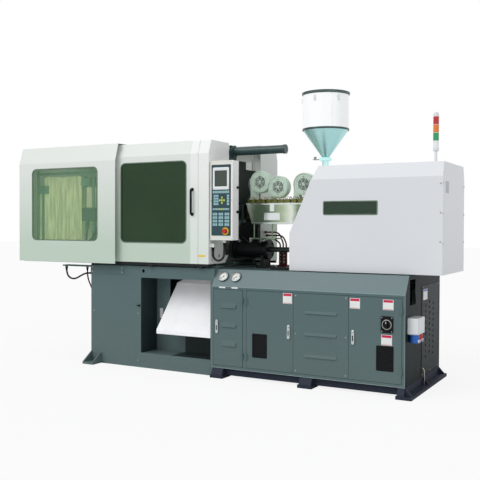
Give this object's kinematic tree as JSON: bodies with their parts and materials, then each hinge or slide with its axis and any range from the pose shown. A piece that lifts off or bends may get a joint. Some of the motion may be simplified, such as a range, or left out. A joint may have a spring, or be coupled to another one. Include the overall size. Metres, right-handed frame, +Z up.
{
  "type": "injection moulding machine",
  "caption": "Horizontal injection moulding machine with sliding guards, hopper, barrel cover, control box and a long base cabinet.",
  "frame": {"origin": "on the floor, at the middle of the machine's length and width", "axes": "+X along the machine towards its injection end, +Y to its rear side, +Z up"},
  "size_m": [4.03, 1.16, 2.3803],
  "materials": {
    "guard_white": "satin",
    "cover_white": "satin",
    "base_grey": "satin",
    "fascia_grey": "satin",
    "chute_white": "satin",
    "platen_paint": "satin",
    "cast_paint": "painted",
    "ground_steel": "polished",
    "machined_steel": "machined",
    "stainless": "polished",
    "clamp_pane": "tinted clear",
    "gate_pane": "tinted clear",
    "slot_pane": "tinted clear",
    "black_plastic": "moulded",
    "rail_black": "satin",
    "hose_rubber": "matt",
    "box_white": "satin",
    "keypad_teal": "matt film",
    "stop_red": "glossy",
    "bright_steel": "polished",
    "pointer_black": "matt",
    "blower_grey": "satin",
    "wheel_dark": "satin",
    "barrel_steel": "heat tinted",
    "motor_grey": "satin",
    "switch_plastic": "moulded",
    "socket_white": "glossy",
    "lid_blue": "glossy",
    "lid_red": "glossy",
    "manifold_red": "satin",
    "signal_lens": "glossy",
    "tube_teal": "satin"
  },
  "bodies": {
    "machine": {"clamp_base": "base_grey", "product_chute": "chute_white", "cabinet_frame": "base_grey", "cabinet_base": "base_grey", "fascia": "fascia_grey", "gauge_cases": "bright_steel", "cabinet_panels": "base_grey", "tank_filler": "base_grey", "socket_box": "socket_white", "pump_motor": "motor_grey", "switchgear": "switch_plastic", "fixed_platen": "platen_paint", "tail_platen": "cast_paint", "tie_bars": "ground_steel", "safety_tube": "tube_teal", "clamp_cover": "guard_white", "clamp_window": "clamp_pane", "fixed_cover": "guard_white", "rear_covers": "guard_white", "gate_rails": "rail_black", "control_box": "box_white", "keypad": "keypad_teal", "control_cable": "hose_rubber", "long_clamp_hose": "hose_rubber", "short_clamp_hose": "hose_rubber", "carriage_guides": "rail_black", "water_manifold": "manifold_red"},
    "front_guard": {"front_gate": "guard_white", "front_gate_window": "gate_pane"},
    "rear_guard": {"rear_gate": "guard_white"},
    "mould_platen": {"moving_platen": "platen_paint", "clamp_ram": "ground_steel"},
    "ejector": {"ejector_rod": "machined_steel"},
    "carriage": {"injection_housing": "cast_paint", "barrel": "barrel_steel", "shroud": "stainless", "blower_housings": "blower_grey", "barrel_cover": "cover_white", "cover_window": "slot_pane", "hopper": "stainless", "signal_light": "signal_lens"},
    "injection": {"injection_plate": "machined_steel"},
    "plasticising_screw": {"screw": "machined_steel"},
    "wheel_1": {"blower_wheel_1": "wheel_dark"},
    "wheel_2": {"blower_wheel_2": "wheel_dark"},
    "wheel_3": {"blower_wheel_3": "wheel_dark"},
    "lid": {"hopper_lid": "stainless"},
    "slide_gate": {"hopper_gate": "machined_steel"},
    "door_narrow": {"narrow_door": "base_grey"},
    "door_pump": {"pump_door": "base_grey"},
    "door_electric": {"electric_door": "base_grey"},
    "latch_narrow": {"narrow_latch": "bright_steel"},
    "latch_pump": {"pump_latch": "bright_steel"},
    "latch_electric": {"electric_latch": "bright_steel"},
    "main_switch": {"switch_knob": "black_plastic"},
    "pointer_1": {"gauge_pointer_1": "pointer_black"},
    "pointer_2": {"gauge_pointer_2": "pointer_black"},
    "plug_lid_1": {"socket_lid_1": "lid_blue"},
    "plug_lid_2": {"socket_lid_2": "lid_red"},
    "stop": {"stop_button": "stop_red"}
  },
  "joints": [
    {"name": "front_gate_slide", "type": "slide", "parent": "machine", "child": "front_guard", "axis": [-1, 0, 0], "range_m": [0, 0.76]},
    {"name": "rear_gate_slide", "type": "slide", "parent": "machine", "child": "rear_guard", "axis": [-1, 0, 0], "range_m": [0, 0.76]},
    {"name": "clamp_stroke", "type": "slide", "parent": "machine", "child": "mould_platen", "axis": [1, 0, 0], "range_m": [0, 0.5]},
    {"name": "ejector_stroke", "type": "slide", "parent": "mould_platen", "child": "ejector", "axis": [1, 0, 0], "range_m": [0, 0.1]},
    {"name": "carriage_stroke", "type": "slide", "parent": "machine", "child": "carriage", "axis": [1, 0, 0], "range_m": [0, 0.25]},
    {"name": "injection_stroke", "type": "slide", "parent": "carriage", "child": "injection", "axis": [1, 0, 0], "range_m": [0, 0.16]},
    {"name": "screw_turn", "type": "hinge", "parent": "injection", "child": "plasticising_screw", "pos_m": [1.45, 0, 1.37], "axis": [1, 0, 0], "continuous": true},
    {"name": "wheel_1_turn", "type": "hinge", "parent": "carriage", "child": "wheel_1", "pos_m": [0.38, -0.07, 1.647], "axis": [0, 1, 0], "continuous": true},
    {"name": "wheel_2_turn", "type": "hinge", "parent": "carriage", "child": "wheel_2", "pos_m": [0.554, -0.07, 1.6], "axis": [0, 1, 0], "continuous": true},
    {"name": "wheel_3_turn", "type": "hinge", "parent": "carriage", "child": "wheel_3", "pos_m": [0.792, -0.07, 1.619], "axis": [0, 1, 0], "continuous": true},
    {"name": "lid_hinge", "type": "hinge", "parent": "carriage", "child": "lid", "pos_m": [0.948, 0.204, 2.366], "axis": [-1, 0, 0], "range_deg": [0, 100]},
    {"name": "slide_gate_pull", "type": "slide", "parent": "carriage", "child": "slide_gate", "axis": [-1, 0, 0], "range_m": [0, 0.056]},
    {"name": "narrow_door_hinge", "type": "hinge", "parent": "machine", "child": "door_narrow", "pos_m": [0.4325, -0.5053, 0.42], "axis": [0, 0, 1], "range_deg": [0, 90]},
    {"name": "pump_door_hinge", "type": "hinge", "parent": "machine", "child": "door_pump", "pos_m": [0.4685, -0.5053, 0.42], "axis": [0, 0, -1], "range_deg": [0, 90]},
    {"name": "electric_door_hinge", "type": "hinge", "parent": "machine", "child": "door_electric", "pos_m": [1.7625, -0.5053, 0.42], "axis": [0, 0, 1], "range_deg": [0, 90]},
    {"name": "narrow_latch_turn", "type": "hinge", "parent": "door_narrow", "child": "latch_narrow", "pos_m": [0.191, -0.5, 0.4705], "axis": [0, 1, 0], "range_deg": [0, 90]},
    {"name": "pump_latch_turn", "type": "hinge", "parent": "door_pump", "child": "latch_pump", "pos_m": [0.85, -0.5, 0.4705], "axis": [0, 1, 0], "range_deg": [0, 90]},
    {"name": "electric_latch_turn", "type": "hinge", "parent": "door_electric", "child": "latch_electric", "pos_m": [1.387, -0.5, 0.4705], "axis": [0, -1, 0], "range_deg": [0, 90]},
    {"name": "main_switch_turn", "type": "hinge", "parent": "door_electric", "child": "main_switch", "pos_m": [1.651, -0.5, 0.541], "axis": [0, 1, 0], "range_deg": [0, 90]},
    {"name": "gauge_1_needle", "type": "hinge", "parent": "machine", "child": "pointer_1", "pos_m": [0.223, -0.44695, 0.83925], "axis": [0, 0.8291, -0.559], "range_deg": [0, 270]},
    {"name": "gauge_2_needle", "type": "hinge", "parent": "machine", "child": "pointer_2", "pos_m": [0.343, -0.44695, 0.83925], "axis": [0, 0.8291, -0.559], "range_deg": [0, 270]},
    {"name": "plug_lid_1_hinge", "type": "hinge", "parent": "machine", "child": "plug_lid_1", "pos_m": [1.8615, -0.3838, 0.4107], "axis": [0, -1, 0], "range_deg": [0, 100], "stiffness_Nm_per_rad": 0.05, "springref_deg": -57.3},
    {"name": "plug_lid_2_hinge", "type": "hinge", "parent": "machine", "child": "plug_lid_2", "pos_m": [1.8615, -0.2964, 0.4107], "axis": [0, -1, 0], "range_deg": [0, 100], "stiffness_Nm_per_rad": 0.05, "springref_deg": -57.3},
    {"name": "stop_press", "type": "slide", "parent": "machine", "child": "stop", "axis": [0, 1, 0], "range_m": [0, 0.005], "stiffness_N_per_m": 400, "springref_m": -0.005}
  ]
}
